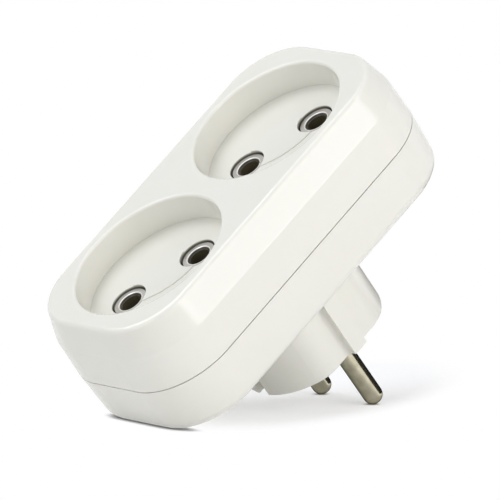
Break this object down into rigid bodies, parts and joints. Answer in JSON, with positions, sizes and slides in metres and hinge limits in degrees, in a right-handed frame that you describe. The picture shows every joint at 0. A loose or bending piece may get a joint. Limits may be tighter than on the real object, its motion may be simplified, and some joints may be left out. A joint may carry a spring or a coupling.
{
  "type": "two-way socket adapter",
  "caption": "Plug-in adapter with a long rounded housing, recessed round sockets in its bevelled face and a round pin plug on its back, for sharing a wall outlet.",
  "frame": {"origin": "on the plug's end face, midway between the two pins", "axes": "+Y the way the pins point, into the wall; +Z along the housing, up on the wall; +X across it"},
  "size_m": [0.0498, 0.0691, 0.0976],
  "materials": {
    "white_plastic": "gloss white moulding",
    "nickel": "nickel plated, turned",
    "spring_steel": "bright spring steel",
    "zinc_steel": "zinc plated",
    "brass": "rolled strip"
  },
  "bodies": {
    "root": {"front_cover": "white_plastic", "back_cover": "white_plastic", "plug_pin_right": "nickel", "plug_pin_left": "nickel", "busbar_right": "brass", "busbar_left": "brass", "case_screws": "zinc_steel", "contact_sleeve_upper_right": "nickel", "spring_ring_upper_right": "spring_steel", "contact_sleeve_upper_left": "nickel", "spring_ring_upper_left": "spring_steel", "contact_sleeve_lower_right": "nickel", "spring_ring_lower_right": "spring_steel", "contact_sleeve_lower_left": "nickel", "spring_ring_lower_left": "spring_steel"}
  },
  "joints": []
}
